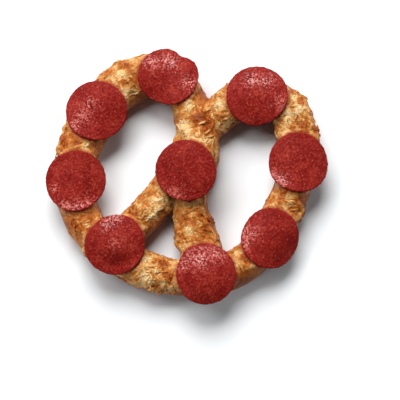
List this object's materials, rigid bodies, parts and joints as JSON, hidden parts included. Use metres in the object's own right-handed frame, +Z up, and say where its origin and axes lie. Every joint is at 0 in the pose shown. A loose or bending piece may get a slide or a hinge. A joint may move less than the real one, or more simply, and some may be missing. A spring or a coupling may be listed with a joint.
{
  "type": "soft pretzel",
  "caption": "Baked soft pretzel, a twisted rope of dough with crossed arms, topped with shredded cheese and slices of pepperoni.",
  "frame": {"origin": "centre of the base of the bounding box, on the surface that the pretzel lies on", "axes": "+X to the right across both loops, +Y from the pressed ends towards the tops of the loops, +Z up out of the topped side"},
  "size_m": [0.1694, 0.1556, 0.0272],
  "materials": {
    "cheesy_crust": "dry baked crust under toasted shredded cheese",
    "pepperoni": "cured meat, speckled with fat and slightly greasy"
  },
  "bodies": {
    "root": {"dough": "cheesy_crust", "pepperoni_top": "pepperoni", "pepperoni_upper_right": "pepperoni", "pepperoni_right": "pepperoni", "pepperoni_lower_right": "pepperoni", "pepperoni_bottom": "pepperoni", "pepperoni_lower_left": "pepperoni", "pepperoni_left": "pepperoni", "pepperoni_upper_left": "pepperoni", "pepperoni_centre": "pepperoni"}
  },
  "joints": []
}
